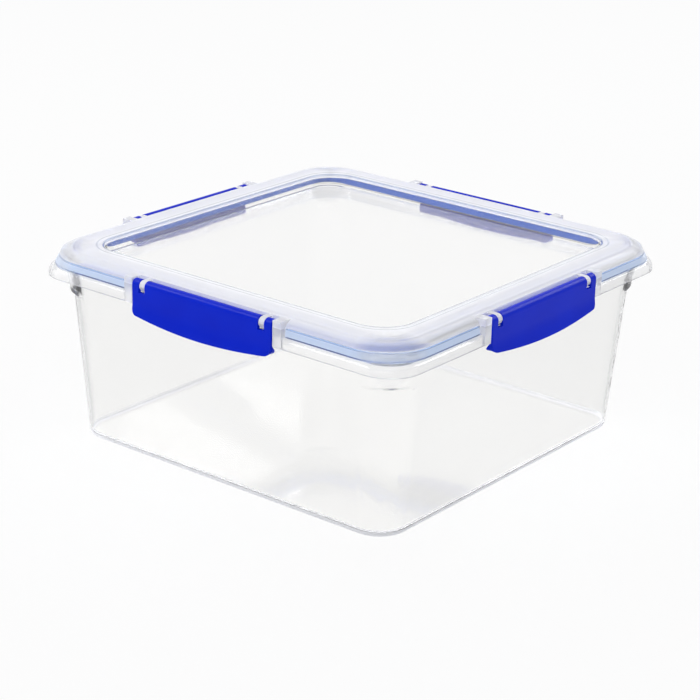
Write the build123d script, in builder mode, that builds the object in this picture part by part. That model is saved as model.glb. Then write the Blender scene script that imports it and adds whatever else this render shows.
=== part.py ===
"""Square food keeper with a lifting lid, a seal and four hinged locking clips.

Millimetres, +Z up. The origin is the centre of the underside of the tub. Every section is drawn
as (distance from the centre, height), because the four sides are alike.
"""

import os
from math import cos, radians, sin, tan

from build123d import *

# Tub
base_half = 114.3
base_corner = 18.0
draft = 5.0
tub_wall = 1.6
tub_floor = 2.0
base_edge = 2.5
floor_edge = 3.0
rim_top = 105.0
flange_thick = 1.6
flange_reach = 6.9
lip_corner = 20.0
lip_drop = 6.5
lip_thick = 1.6
lip_round = 5.0
gusset_height = 12.0
gusset_run = 2.5
gusset_sharper = 6.0
gusset_inset = 0.2

# Seal
seal_inset = 14.0
seal_inner_corner = 14.1
seal_width = 8.0
seal_outer_corner = 29.2
seal_height = 5.5
seal_fit = 0.3

# Lid
lid_gap = 0.4
lid_wall = 1.5
skirt_inset = 0.8
skirt_height = 4.6
skirt_lean = 0.6
skirt_corner = 26.0
skirt_roof = 0.75
shoulder_corner = 30.0
brow_run = 1.8
brow_rise = 2.6
brow_corner = 27.0
slope_run = 5.4
slope_rise = 4.6
crown_run = 2.6
crown_rise = 0.6
crown_corner = 25.0
recess_inset = 9.1
recess_corner = 18.5
recess_depth = 7.7
recess_draft = 11.0
panel_thick = 1.8
roof_thick = 2.4
rib_drop = 1.9
seat_rib = 1.2
seat_rib_inset = 1.9

# Clips and their hinges
clip_half = 50.0
clip_side_gap = 0.7
clip_thick = 1.9
clip_lip_gap = 0.4
bead_radius = 3.2
hinge_below_top = 4.5
clip_end_drop = 19.8
clip_bow = 3.3
flare_start = 13.0
flare = 3.2
flare_back_inset = 0.95
flare_back_rise = 0.5
hook_start = 0.2
hook_reach = 2.6
hook_slope = 54.0
hook_thick = 1.0
clip_bottom_corner = 4.0
clip_top_corner = 2.5
slot_inset = 7.0
slot_width = 4.4
slot_below_hinge = 3.8
bar_radius = 1.5
bar_fit = 0.08
lug_radius = 3.0
lug_side_gap = 0.4
cheek_width = 5.8
cheek_inset = 0.4
cheek_below_flange = 5.5

# Heights and widths that follow from the sizes above
slant = tan(radians(draft))
lip_half = base_half + rim_top * slant + flange_reach
lip_bottom = rim_top - lip_drop
skirt_half = lip_half - skirt_inset
skirt_bottom = rim_top + lid_gap
shoulder_z = skirt_bottom + skirt_height
shoulder_half = skirt_half - skirt_lean
crown_z = shoulder_z + slope_rise
crown_half = shoulder_half - slope_run
lid_top = crown_z + crown_rise
seal_inner = skirt_half - seal_inset
recess_half = seal_inner - recess_inset
panel_top = lid_top - recess_depth
panel_bottom = panel_top - panel_thick
roof_bottom = lid_top - roof_thick
seal_outer = seal_inner + seal_width
seal_bottom = rim_top + seal_fit
seal_top = seal_bottom + seal_height
inner_rib_outer = seal_inner - seal_fit
inner_rib_corner = seal_inner_corner - seal_fit
channel_wall_inner = seal_outer + seal_fit
channel_wall_corner = seal_outer_corner + seal_fit
pocket_half = channel_wall_inner + lid_wall
rib_half = inner_rib_outer - lid_wall
rib_corner = inner_rib_corner - lid_wall
hinge_z = lid_top - hinge_below_top
clip_inner = lip_half + clip_lip_gap
clip_outer = clip_inner + clip_thick
hinge_half = clip_outer - bead_radius
cheek_outer = clip_outer - cheek_inset
boss_half = clip_half + clip_side_gap + cheek_width
cheek_bottom = rim_top - cheek_below_flange
platform_z = hinge_z + bead_radius + lid_gap
clip_top = hinge_z + bead_radius
clip_end_bottom = clip_top - clip_end_drop
clip_mid_bottom = clip_end_bottom - clip_bow
flare_z = clip_top - flare_start
slot_place = clip_half - slot_inset
hook_top = lip_bottom + hook_start
hook_fall = hook_reach * tan(radians(hook_slope))

side_angles = {"front": -90, "right": 0, "back": 90, "left": 180}


def section_plane(angle):
    """Upright plane through the centre: its x runs out to the side at that angle, its y is height."""
    out = (cos(radians(angle)), sin(radians(angle)), 0)
    across = (sin(radians(angle)), -cos(radians(angle)), 0)
    return Plane(origin=(0, 0, 0), x_dir=out, z_dir=across)


def square(half, corner):
    """Rounded square of the sketch that is open."""
    return RectangleRounded(2 * half, 2 * half, corner)


def square_ring(outer, outer_corner, inner, inner_corner):
    """Rounded square frame of the sketch that is open."""
    square(outer, outer_corner)
    RectangleRounded(2 * inner, 2 * inner, inner_corner, mode=Mode.SUBTRACT)


# Tub: rounded flange and lip, drafted walls, flat floor
with BuildPart() as flange_hollow:
    with BuildSketch(Plane.XY.offset(lip_bottom)):
        square(lip_half - lip_thick, lip_corner - lip_thick)
    extrude(amount=lip_drop - flange_thick)
    fillet(flange_hollow.edges().group_by(Axis.Z)[-1], lip_round - lip_thick)

with BuildPart() as tub:
    with BuildSketch(Plane.XY.offset(lip_bottom)):
        square(lip_half, lip_corner)
    extrude(amount=lip_drop)
    fillet(tub.edges().group_by(Axis.Z)[-1], lip_round)
    add(flange_hollow.part, mode=Mode.SUBTRACT)
    with BuildSketch():
        square(base_half, base_corner)
    extrude(amount=rim_top, taper=-draft)
    fillet(tub.edges().group_by(Axis.Z)[0], base_edge)
    # stacking gussets: the top of the wall with tighter corners, hidden inside it along the sides
    gusset_low = lip_bottom - gusset_height
    gusset_z = [gusset_low, gusset_low + gusset_run, rim_top - flange_thick / 2]
    for level, sharper in zip(gusset_z, [0, gusset_sharper, gusset_sharper]):
        with BuildSketch(Plane.XY.offset(level)):
            square(base_half + level * slant - gusset_inset, base_corner + level * slant - sharper)
    loft(ruled=True)
    # hollow
    with BuildSketch(Plane.XY.offset(tub_floor)):
        square(base_half + tub_floor * slant - tub_wall, base_corner + tub_floor * slant - tub_wall)
    extrude(amount=rim_top, taper=-draft, mode=Mode.SUBTRACT)
    fillet(tub.edges().filter_by_position(Axis.Z, tub_floor - 0.1, tub_floor + 0.1), floor_edge)
tub.part.label = "tub"

# Seal: soft ring in the channel of the lid
with BuildPart() as seal:
    with BuildSketch(Plane.XY.offset(seal_bottom)):
        square_ring(seal_outer, seal_outer_corner, seal_inner, seal_inner_corner)
    extrude(amount=seal_height)
seal.part.label = "seal"

# Lid: skirt, sloped shoulder and ridge round a sunk panel, hollow underneath
with BuildPart() as lid:
    for level, half, corner in [
        (skirt_bottom, skirt_half, skirt_corner),
        (shoulder_z, shoulder_half, shoulder_corner),
        (shoulder_z + brow_rise, shoulder_half - brow_run, brow_corner),
        (crown_z, crown_half, crown_corner),
        (lid_top, crown_half - crown_run, crown_corner - crown_run),
    ]:
        with BuildSketch(Plane.XY.offset(level)):
            square(half, corner)
    loft(ruled=True)
    with BuildSketch(Plane.XY.offset(panel_top)):
        square(recess_half, recess_corner)
    extrude(amount=recess_depth, taper=-recess_draft, mode=Mode.SUBTRACT)
    # a boss on each side carries the clip between two cheeks
    for angle in side_angles.values():
        with BuildSketch(section_plane(angle)):
            with BuildLine():
                Polyline(
                    (channel_wall_inner, skirt_bottom),
                    (clip_inner, skirt_bottom),
                    (clip_inner, cheek_bottom),
                    (cheek_outer, cheek_bottom),
                    (cheek_outer, platform_z),
                    (channel_wall_inner, platform_z),
                    close=True,
                )
            make_face()
        extrude(amount=boss_half, both=True)
    for angle in side_angles.values():
        with BuildSketch(section_plane(angle)):
            with Locations((pocket_half, cheek_bottom)):
                Rectangle(clip_outer, lid_top, align=(Align.MIN, Align.MIN))
        extrude(amount=clip_half + clip_side_gap, both=True, mode=Mode.SUBTRACT)
    # underside: space under the panel, seal channel and space inside the skirt
    with BuildSketch(Plane.XY.offset(skirt_bottom)):
        square(rib_half, rib_corner)
    extrude(amount=panel_bottom - skirt_bottom, mode=Mode.SUBTRACT)
    with BuildSketch(Plane.XY.offset(skirt_bottom)):
        square_ring(rib_half, rib_corner, recess_half + lid_wall, recess_corner + lid_wall)
    extrude(amount=roof_bottom - skirt_bottom, mode=Mode.SUBTRACT)
    with BuildSketch(Plane.XY.offset(skirt_bottom)):
        square_ring(channel_wall_inner, channel_wall_corner, inner_rib_outer, inner_rib_corner)
    extrude(amount=roof_bottom - skirt_bottom, mode=Mode.SUBTRACT)
    with BuildSketch(Plane.XY.offset(skirt_bottom)):
        square_ring(
            shoulder_half - lid_wall, shoulder_corner - lid_wall, pocket_half, channel_wall_corner + lid_wall
        )
    extrude(amount=skirt_height - skirt_roof, mode=Mode.SUBTRACT)
    # rib inside the seal, and two thin ribs that the top of the seal stands against
    with BuildSketch(Plane.XY.offset(roof_bottom)):
        square_ring(inner_rib_outer, inner_rib_corner, rib_half, rib_corner)
    extrude(amount=-(roof_bottom - skirt_bottom + rib_drop))
    for inset in (seat_rib_inset, seal_width - seat_rib_inset - seat_rib):
        blend = inset / seal_width
        corner = seal_inner_corner + blend * (seal_outer_corner - seal_inner_corner)
        with BuildSketch(Plane.XY.offset(roof_bottom)):
            square_ring(seal_inner + inset + seat_rib, corner + seat_rib, seal_inner + inset, corner)
        extrude(amount=-(roof_bottom - seal_top))
    # hinge lugs: tongues from the boss that end in a bored eye
    for angle in side_angles.values():
        plane = section_plane(angle)
        for place in (-slot_place, slot_place):
            with BuildSketch(plane.offset(place)):
                with Locations((hinge_half, hinge_z)):
                    Circle(lug_radius)
                with Locations((channel_wall_inner, hinge_z)):
                    Rectangle(
                        hinge_half - channel_wall_inner, lug_radius, align=(Align.MIN, Align.MIN)
                    )
                with Locations((hinge_half, hinge_z)):
                    Circle(bar_radius + bar_fit, mode=Mode.SUBTRACT)
            extrude(amount=slot_width / 2 - lug_side_gap, both=True)
lid.part.label = "lid"

# Front clip: hinge bead, plate with finger lip and hook, cut to its outline, with two slots and a bar
with BuildPart() as front_clip:
    front = section_plane(side_angles["front"])
    with BuildSketch(front):
        with BuildLine():
            plate = Line((clip_outer, hinge_z), (clip_outer, flare_z))
            lip_face = TangentArc(plate @ 1, (clip_outer + flare, clip_mid_bottom), tangent=(0, -1))
            Polyline(
                lip_face @ 1,
                (clip_outer + flare - clip_thick, clip_mid_bottom),
                (clip_outer - flare_back_inset, clip_end_bottom + flare_back_rise),
                (clip_inner - hook_reach, hook_top - hook_fall - hook_thick),
                (clip_inner - hook_reach, hook_top - hook_fall),
                (clip_inner, hook_top),
                (clip_inner, hinge_z),
                plate @ 0,
            )
        make_face()
        with Locations((hinge_half, hinge_z)):
            Circle(bead_radius)
    extrude(amount=clip_half, both=True)
    with BuildSketch(Plane.XZ) as clip_outline:
        with BuildLine():
            bottom = ThreePointArc(
                (-clip_half, clip_end_bottom), (0, clip_mid_bottom), (clip_half, clip_end_bottom)
            )
            Polyline(bottom @ 1, (clip_half, clip_top), (-clip_half, clip_top), bottom @ 0)
        make_face()
        corners = clip_outline.vertices().group_by(Axis.Y)
        fillet(corners[0], clip_bottom_corner)
        fillet(corners[-1], clip_top_corner)
    extrude(amount=clip_outer + flare + 1, mode=Mode.INTERSECT)
    with BuildSketch(Plane.XZ):
        with Locations((-slot_place, hinge_z - slot_below_hinge), (slot_place, hinge_z - slot_below_hinge)):
            Rectangle(slot_width, clip_end_drop, align=(Align.CENTER, Align.MIN))
    extrude(amount=clip_outer + flare + 1, mode=Mode.SUBTRACT)
    for place in (-slot_place, slot_place):
        with BuildSketch(front.offset(place)):
            with Locations((hinge_half, hinge_z)):
                Circle(bar_radius)
        extrude(amount=slot_width / 2, both=True)
front_clip.part.label = "front_clip"

# The other clips are the same moulding turned to the other sides
with BuildPart() as right_clip:
    add(front_clip.part.rotate(Axis.Z, side_angles["right"] - side_angles["front"]))
right_clip.part.label = "right_clip"
with BuildPart() as back_clip:
    add(front_clip.part.rotate(Axis.Z, side_angles["back"] - side_angles["front"]))
back_clip.part.label = "back_clip"
with BuildPart() as left_clip:
    add(front_clip.part.rotate(Axis.Z, side_angles["left"] - side_angles["front"]))
left_clip.part.label = "left_clip"

os.makedirs("parts", exist_ok=True)
export_step(tub.part, "parts/tub.step")
export_step(lid.part, "parts/lid.step")
export_step(seal.part, "parts/seal.step")
export_step(front_clip.part, "parts/front_clip.step")
export_step(right_clip.part, "parts/right_clip.step")
export_step(back_clip.part, "parts/back_clip.step")
export_step(left_clip.part, "parts/left_clip.step")
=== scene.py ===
import math
import bpy
from mathutils import Matrix, Vector


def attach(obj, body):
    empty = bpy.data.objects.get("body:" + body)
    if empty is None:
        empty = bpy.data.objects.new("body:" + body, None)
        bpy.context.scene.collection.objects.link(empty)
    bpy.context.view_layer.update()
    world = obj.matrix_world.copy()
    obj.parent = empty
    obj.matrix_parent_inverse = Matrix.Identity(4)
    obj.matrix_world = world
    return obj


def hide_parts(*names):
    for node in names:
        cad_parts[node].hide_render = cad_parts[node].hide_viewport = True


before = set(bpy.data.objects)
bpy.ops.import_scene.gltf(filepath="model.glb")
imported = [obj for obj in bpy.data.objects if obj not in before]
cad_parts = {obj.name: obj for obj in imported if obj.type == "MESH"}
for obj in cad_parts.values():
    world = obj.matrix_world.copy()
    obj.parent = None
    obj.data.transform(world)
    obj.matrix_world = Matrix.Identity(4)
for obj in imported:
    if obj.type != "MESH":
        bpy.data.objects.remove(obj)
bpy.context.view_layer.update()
bpy.ops.object.select_all(action="DESELECT")

MM = 0.001

# Camera at the photograph's viewing angle
CAMERA_AZIMUTH = math.radians(38.273)
CAMERA_ELEVATION = math.radians(20.457)
CAMERA_ROLL = math.radians(1.511)
CAMERA_DISTANCE = 1.2415
CAMERA_AIM = Vector((-0.01033, 0.01055, 0.04302))
CAMERA_LENS = 106.94
SENSOR_WIDTH = 36.0

# Edges of the mouldings
CLEAR_EDGE = 0.45 * MM
CLIP_EDGE = 0.55 * MM
SEAL_EDGE = 0.8 * MM
EDGE_ANGLE = math.radians(28)
EDGE_SEGMENTS = 3
MERGE_DISTANCE = 0.002 * MM
FLAT_ANGLE = math.radians(0.5)
SMOOTH_ANGLE = math.radians(35)

# Clear plastic of the tub and the lid
TUB_TINT = (0.975, 0.973, 0.966, 1)
LID_TINT = (0.98, 0.978, 0.973, 1)
# Painted shade: the grey that the clear plastic's colour turns to where it is seen edge on
EDGE_PAINTED_SHADE = (0.34, 0.36, 0.38, 1)
# Painted shade: colour of thin dark lines painted on the lid, where dark edges show through the
# clear plastic
PAINTED_LINE_SHADE = (0.3, 0.42, 0.62, 1)
SHADOW_TINT = (0.97, 0.975, 0.98, 1)
MILK = (0.95, 0.952, 0.985, 1)
# Painted light: milk colour of the skirt's band, painted the seal's blue as if the seal showed
# through the haze
MILK_PAINTED_SEAL_BLUE = (0.66, 0.77, 0.97, 1)
MILK_ROUGHNESS = 0.7
CLEAR_IOR = 1.36
CLEAR_ROUGHNESS = 0.03
CLEAR_GRAIN = 0.04
CLEAR_GRAIN_SCALE = 220.0
CLEAR_GRAIN_DETAIL = 2.0
FACING_BLEND = 0.5
TUB_EDGE_POWER = 3.0
LID_EDGE_POWER = 5.0
LID_HAZE_POWER = 4.0
LID_EDGE_HAZE = 0.15
BODY_HAZE = 0.015

# Glossy blue of the clips
CLIP_BLUE = (0.001, 0.012, 0.5, 1)
CLIP_BLUE_PALER = (0.001, 0.024, 0.68, 1)
CLIP_SHINE = 0.07
CLIP_ROUGHNESS = 0.2
CLIP_SKIN = 0.06
CLIP_SKIN_SCALE = 260.0
CLIP_SKIN_DETAIL = 3.0
CLIP_CLOUD_SCALE = 30.0
CLIP_CLOUD_DETAIL = 2.0
CLIP_BUMP = 0.03

# Satin blue of the seal
SEAL_BLUE = (0.035, 0.15, 0.72, 1)
SEAL_ROUGHNESS = 0.4
SEAL_SKIN = 0.15
SEAL_SKIN_SCALE = 140.0
SEAL_SKIN_DETAIL = 3.0
SEAL_BUMP = 0.08

BUMP_DEPTH = 0.5 * MM

# Milky zones: rounded squares about the middle of the part, and heights above its base
HAZE_BLUR = 0.4 * MM
RIDGE_HALF = 108.6 * MM
RIDGE_CORNER = 20.0 * MM
RIDGE_HEIGHT = 110.1 * MM
RIDGE_HAZE = 0.6
SKIRT_HALF = 125.6 * MM
SKIRT_CORNER = 28.0 * MM
SKIRT_HAZE = 0.72
BOSS_HALF = 56.7 * MM
BOSS_HAZE = 0.38
FLANGE_HALF = 123.8 * MM
FLANGE_CORNER = 27.0 * MM
FLANGE_HAZE = 0.15
BASE_HALF = 112.0 * MM
BASE_CORNER = 16.5 * MM
BASE_HEIGHT = 3.0 * MM
BASE_HAZE = 0.8
WALL_START = 6.0 * MM

# Clearer corners of the lid
CORNER_START = 101.0 * MM
CORNER_RUN = 9.0 * MM
CORNER_CLEARING = 0.35

# Painted shade: thin darker lines in the lid's colour, above and below its skirt's band, and on the
# ridge
LINE_LOW = 109.5 * MM
LINE_HIGH = 110.3 * MM
HEM_HEIGHT = 105.9 * MM
RIM_HALF = 107.5 * MM
RIM_CORNER = 19.5 * MM
RIM_HEIGHT = 114.2 * MM
RIM_SHADE = 0.75
CREST_INNER = 110.9 * MM
CREST_OUTER = 111.7 * MM
CREST_CORNER = 21.5 * MM
CREST_SHADE = 0.45

# Floor, room and lamps
WHITE = (1, 1, 1, 1)
WHITE_STRENGTH = 1.0
FLOOR_SIZE = 12.0
FLOOR_DROP = 0.3 * MM
FLOOR_PAINT = (0.86, 0.86, 0.86, 1)
FLOOR_GLOW = 0.87
ROOM_LIGHT = (0.97, 0.98, 1.0, 1)
ROOM_STRENGTH = 0.55
LAMP_AIM = Vector((0, 0, 0.06))
SOFTBOXES = (
    ("key", (-1.39, -0.75, 1.5), (2.1, 0.45), 19),
    ("rim", (0.6, 1.7, 1.26), (1.4, 0.45), 12),
    ("front", (1.2, -2.0, 1.2), (2.0, 1.4), 8),
)


class Socket:
    """One output of a node, with the sums that the materials use."""

    def __init__(self, tree, out):
        self.tree = tree
        self.out = out

    def node(self, kind, settings=None, **inputs):
        """First output of a new node: its settings go first, then its sockets, each by its name or
        by its number, as i0."""
        made = self.tree.nodes.new(kind)
        for key, value in (settings or {}).items():
            setattr(made, key, value)
        for key, value in inputs.items():
            numbered = key[0] == "i" and key[1:].isdigit()
            place = int(key[1:]) if numbered else key.replace("_", " ")
            if isinstance(value, Socket):
                self.tree.links.new(value.out, made.inputs[place])
            else:
                made.inputs[place].default_value = value
        return Socket(self.tree, made.outputs[0])

    def output(self, place):
        """Another output of the same node."""
        return Socket(self.tree, self.out.node.outputs[place])

    def maths(self, operation, a, b=0.0):
        return self.node("ShaderNodeMath", {"operation": operation}, i0=a, i1=b)

    def clamped(self):
        return self.node("ShaderNodeClamp", i0=self)

    def __add__(self, other):
        return self.maths("ADD", self, other)

    def __sub__(self, other):
        return self.maths("SUBTRACT", self, other)

    def __rsub__(self, other):
        return self.maths("SUBTRACT", other, self)

    def __mul__(self, other):
        return self.maths("MULTIPLY", self, other)

    __radd__ = __add__
    __rmul__ = __mul__


def new_material(name):
    """A material with an empty tree, the place on the piece to build from, and the output node."""
    material = bpy.data.materials.new(name)
    material.use_nodes = True
    tree = material.node_tree
    tree.nodes.clear()
    output = tree.nodes.new("ShaderNodeOutputMaterial")
    place = Socket(tree, tree.nodes.new("ShaderNodeTexCoord").outputs["Object"])
    return material, place, output


def above(value, start, run=HAZE_BLUR):
    """0 up to the start, 1 from the start plus the run, and even between."""
    return value.maths("DIVIDE", value - start, run).clamped()


def higher(first, second):
    return first.maths("MAXIMUM", first, second)


def split_place(place):
    """Distance from the two middle planes, and height, of a point."""
    axes = place.node("ShaderNodeSeparateXYZ", Vector=place)
    across, along, height = (axes.output(axis) for axis in "XYZ")
    return across.maths("ABSOLUTE", across), along.maths("ABSOLUTE", along), height


def outside_square(across, along, half, corner):
    """1 outside a rounded square, 0 inside it."""
    over_across = higher(across - (half - corner), 0.0)
    over_along = higher(along - (half - corner), 0.0)
    reach = over_across * over_across + over_along * over_along
    return above(reach.maths("SQRT", reach), corner)


def noise(place, scale, detail):
    return place.node("ShaderNodeTexNoise", Vector=place, Scale=scale, Detail=detail)


def bump(height, strength):
    return height.node("ShaderNodeBump", Height=height, Strength=strength, Distance=BUMP_DEPTH)


def blend(share, first, second):
    """The first colour where the share is 0, the second where it is 1."""
    mix = share.node("ShaderNodeMix", {"data_type": "RGBA"}, i0=share, i6=first, i7=second)
    return mix.output(2)


def blend_shaders(share, first, second):
    """The first shader where the share is 0, the second where it is 1."""
    return share.node("ShaderNodeMixShader", i0=share, i1=first, i2=second)


def lid_finish(place, facing):
    """Haze and colours of the lid: a milky ridge and bosses, a skirt whose milk is painted the
    seal's blue between two painted dark lines, painted dark lines on the ridge, painted grey
    shade where the ridge is seen edge on, and clearer corners."""
    across, along, height = split_place(place)
    nearer = across.maths("MINIMUM", across, along)
    clearing = 1.0 - above(nearer, CORNER_START, CORNER_RUN) * CORNER_CLEARING
    beside_boss = above(nearer, BOSS_HALF)
    high = above(height, RIDGE_HEIGHT)
    ridge = outside_square(across, along, RIDGE_HALF, RIDGE_CORNER)
    skirt = outside_square(across, along, SKIRT_HALF, SKIRT_CORNER)
    band = skirt * (1.0 - high) * beside_boss * clearing
    haze = higher(ridge * high * clearing * RIDGE_HAZE, band * SKIRT_HAZE)
    haze = higher(haze, skirt * (1.0 - beside_boss) * BOSS_HAZE)
    # Painted shade: thin dark lines above and below the skirt's band and on the ridge
    upper_line = above(height, LINE_LOW) * (1.0 - above(height, LINE_HIGH))
    hem_line = 1.0 - above(height, HEM_HEIGHT)
    painted_band_lines = skirt * (upper_line + hem_line) * beside_boss * clearing
    rim = outside_square(across, along, RIM_HALF, RIM_CORNER) * (1.0 - ridge)
    rim = rim * above(height, RIM_HEIGHT)
    crest = outside_square(across, along, CREST_INNER, CREST_CORNER) * high
    crest = crest * (1.0 - outside_square(across, along, CREST_OUTER, CREST_CORNER))
    painted_shade_lines = painted_band_lines + rim * RIM_SHADE + crest * CREST_SHADE
    # Painted shade: the colour turns grey where the ridge is seen edge on
    edge = facing.maths("POWER", facing, LID_EDGE_POWER) * ridge
    tint_and_painted_shade = blend(edge, blend(painted_shade_lines, LID_TINT, PAINTED_LINE_SHADE), EDGE_PAINTED_SHADE)
    # Painted light: the seal's blue painted into the milk of the skirt's band
    milk_and_painted_blue = blend(band, MILK, MILK_PAINTED_SEAL_BLUE)
    edge_haze = facing.maths("POWER", facing, LID_HAZE_POWER) * LID_EDGE_HAZE
    return haze * (1.0 - painted_shade_lines) + edge_haze, tint_and_painted_shade, milk_and_painted_blue


def tub_finish(place, facing):
    """Haze and colours of the tub: its flange, lip and the edge that it stands on are hazier
    than its walls, and painted grey shade darkens the walls' colour where they are seen edge on."""
    across, along, height = split_place(place)
    flange = outside_square(across, along, FLANGE_HALF, FLANGE_CORNER)
    base = outside_square(across, along, BASE_HALF, BASE_CORNER)
    base = base * (1.0 - above(height, BASE_HEIGHT))
    # Painted shade: the walls' colour turns grey where they are seen edge on
    edge = facing.maths("POWER", facing, TUB_EDGE_POWER) * above(height, WALL_START)
    return flange * FLANGE_HAZE + base * BASE_HAZE, blend(edge, TUB_TINT, EDGE_PAINTED_SHADE), MILK


def clear_material(name, finish):
    """Clear moulded plastic that lets light through to the floor, with milky zones, and with the
    painted shade and colour that its finish gives.
    """
    material, place, output = new_material(name)
    facing = place.node("ShaderNodeLayerWeight", Blend=FACING_BLEND).output("Facing")
    haze, tint_and_painted_shade, milk_tone_and_painted_blue = finish(place, facing)
    grain = noise(place, CLEAR_GRAIN_SCALE, CLEAR_GRAIN_DETAIL)
    clear = place.node(
        "ShaderNodeBsdfPrincipled",
        Base_Color=tint_and_painted_shade,
        Roughness=grain * CLEAR_GRAIN + CLEAR_ROUGHNESS,
        IOR=CLEAR_IOR,
        Transmission_Weight=1.0,
    )
    milk_and_painted_blue = place.node(
        "ShaderNodeBsdfPrincipled",
        Base_Color=milk_tone_and_painted_blue,
        Roughness=MILK_ROUGHNESS,
        Specular_IOR_Level=0.0,
    )
    moulding = blend_shaders((haze + BODY_HAZE).clamped(), clear, milk_and_painted_blue)
    shadow_ray = place.node("ShaderNodeLightPath").output("Is Shadow Ray")
    through = place.node("ShaderNodeBsdfTransparent", Color=SHADOW_TINT)
    lit = blend_shaders(shadow_ray, moulding, through)
    place.tree.links.new(lit.out, output.inputs[0])
    return material


def clip_material():
    """Glossy blue moulding with a fine skin that breaks up the highlights a little."""
    material, place, output = new_material("clip_gloss_blue")
    skin = noise(place, CLIP_SKIN_SCALE, CLIP_SKIN_DETAIL)
    cloud = noise(place, CLIP_CLOUD_SCALE, CLIP_CLOUD_DETAIL)
    body = place.node(
        "ShaderNodeBsdfPrincipled",
        Base_Color=blend(cloud, CLIP_BLUE, CLIP_BLUE_PALER),
        Roughness=skin * CLIP_SKIN + CLIP_ROUGHNESS,
        Specular_IOR_Level=CLIP_SHINE,
        Normal=bump(cloud, CLIP_BUMP),
    )
    place.tree.links.new(body.out, output.inputs[0])
    return material


def seal_material():
    """Soft satin blue of the seal."""
    material, place, output = new_material("seal_satin_blue")
    skin = noise(place, SEAL_SKIN_SCALE, SEAL_SKIN_DETAIL)
    body = place.node(
        "ShaderNodeBsdfPrincipled",
        Base_Color=SEAL_BLUE,
        Roughness=skin * SEAL_SKIN + SEAL_ROUGHNESS,
        Normal=bump(skin, SEAL_BUMP),
    )
    place.tree.links.new(body.out, output.inputs[0])
    return material


def refined(node, body, edge, material):
    """A moulding with the node's walls and softly rounded edges, which stands for the node."""
    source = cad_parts[node]
    piece = source.copy()
    piece.data = source.data.copy()
    piece.name = node + "_moulding"
    piece.parent = None
    bpy.context.scene.collection.objects.link(piece)
    bpy.ops.object.select_all(action="DESELECT")
    piece.select_set(True)
    bpy.context.view_layer.objects.active = piece
    if piece.data.has_custom_normals:
        bpy.ops.mesh.customdata_custom_splitnormals_clear()
    bpy.ops.object.mode_set(mode="EDIT")
    bpy.ops.mesh.select_all(action="SELECT")
    bpy.ops.mesh.remove_doubles(threshold=MERGE_DISTANCE)
    bpy.ops.mesh.dissolve_limited(angle_limit=FLAT_ANGLE)
    bpy.ops.object.mode_set(mode="OBJECT")
    bevel = piece.modifiers.new("edges", "BEVEL")
    bevel.limit_method = "ANGLE"
    bevel.angle_limit = EDGE_ANGLE
    bevel.width = edge
    bevel.segments = EDGE_SEGMENTS
    bevel.use_clamp_overlap = True
    bpy.ops.object.modifier_apply(modifier=bevel.name)
    bpy.ops.object.shade_smooth_by_angle(angle=SMOOTH_ANGLE)
    weighted = piece.modifiers.new("flat faces stay flat", "WEIGHTED_NORMAL")
    weighted.keep_sharp = True
    bpy.ops.object.modifier_apply(modifier=weighted.name)
    piece.data.materials.clear()
    piece.data.materials.append(material)
    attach(piece, body)
    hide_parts(node)


def set_up_camera():
    """A camera that looks at the aim from its azimuth and elevation, rolled a little."""
    back = Vector((
        math.sin(CAMERA_AZIMUTH) * math.cos(CAMERA_ELEVATION),
        -math.cos(CAMERA_AZIMUTH) * math.cos(CAMERA_ELEVATION),
        math.sin(CAMERA_ELEVATION),
    ))
    level = Vector((math.cos(CAMERA_AZIMUTH), math.sin(CAMERA_AZIMUTH), 0))
    upright = back.cross(level)
    right = level * math.cos(CAMERA_ROLL) + upright * math.sin(CAMERA_ROLL)
    up = upright * math.cos(CAMERA_ROLL) - level * math.sin(CAMERA_ROLL)
    turn = Matrix((right, up, back)).transposed().to_4x4()
    lens = bpy.data.cameras.new("camera")
    lens.lens = CAMERA_LENS
    lens.sensor_width = SENSOR_WIDTH
    camera = bpy.data.objects.new("camera", lens)
    camera.matrix_world = Matrix.Translation(CAMERA_AIM + back * CAMERA_DISTANCE) @ turn
    bpy.context.scene.collection.objects.link(camera)
    bpy.context.scene.camera = camera


def add_softbox(name, place, size, power):
    """A rectangular area lamp aimed at the middle of the object."""
    lamp = bpy.data.lights.new(name, "AREA")
    lamp.shape = "RECTANGLE"
    lamp.size, lamp.size_y = size
    lamp.energy = power
    holder = bpy.data.objects.new(name, lamp)
    holder.location = place
    aim = LAMP_AIM - Vector(place)
    holder.rotation_euler = aim.to_track_quat("-Z", "Y").to_euler()
    bpy.context.scene.collection.objects.link(holder)


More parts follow.
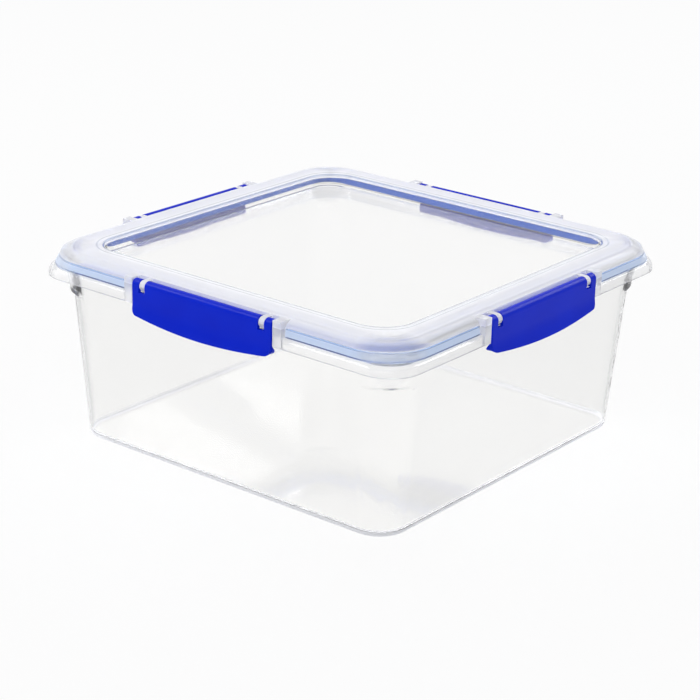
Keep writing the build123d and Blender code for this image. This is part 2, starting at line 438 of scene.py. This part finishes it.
def seen_rays(tree):
    """1 for what the camera sees, straight or in gloss or through a clear wall."""
    path = Socket(tree, tree.nodes.new("ShaderNodeLightPath").outputs["Is Camera Ray"])
    seen = higher(path, path.output("Is Glossy Ray"))
    return higher(seen, path.output("Is Transmission Ray"))


def set_up_floor():
    """A white floor that reads white to the camera and through clear walls, with a faint shadow."""
    bpy.ops.mesh.primitive_plane_add(size=FLOOR_SIZE, location=(0, 0, -FLOOR_DROP))
    floor = bpy.context.object
    floor.name = "floor"
    material, place, output = new_material("floor_white")
    paint = place.node("ShaderNodeBsdfDiffuse", Color=FLOOR_PAINT)
    glow = place.node("ShaderNodeEmission", Color=WHITE, Strength=WHITE_STRENGTH)
    surface = blend_shaders(seen_rays(place.tree) * FLOOR_GLOW, paint, glow)
    place.tree.links.new(surface.out, output.inputs[0])
    floor.data.materials.append(material)


def set_up_room():
    """An even room light that reads white to the camera and through clear walls."""
    world = bpy.data.worlds.new("studio")
    bpy.context.scene.world = world
    world.use_nodes = True
    tree = world.node_tree
    tree.nodes.clear()
    seen = seen_rays(tree)
    lights = seen.node("ShaderNodeBackground", Color=ROOM_LIGHT, Strength=ROOM_STRENGTH)
    backdrop = seen.node("ShaderNodeBackground", Color=WHITE, Strength=WHITE_STRENGTH)
    output = tree.nodes.new("ShaderNodeOutputWorld")
    tree.links.new(blend_shaders(seen, lights, backdrop).out, output.inputs[0])


set_up_camera()
set_up_floor()
set_up_room()
for name, place, size, power in SOFTBOXES:
    add_softbox(name, place, size, power)

tub_clear = clear_material("tub_clear_plastic", tub_finish)
lid_clear = clear_material("lid_clear_plastic", lid_finish)
clip_blue = clip_material()
seal_blue = seal_material()
refined("tub", "tub", CLEAR_EDGE, tub_clear)
refined("lid", "lid", CLEAR_EDGE, lid_clear)
refined("seal", "lid", SEAL_EDGE, seal_blue)
for side in ("front", "right", "back", "left"):
    refined(side + "_clip", side + "_clip", CLIP_EDGE, clip_blue)

bpy.context.scene.view_settings.view_transform = "Standard"
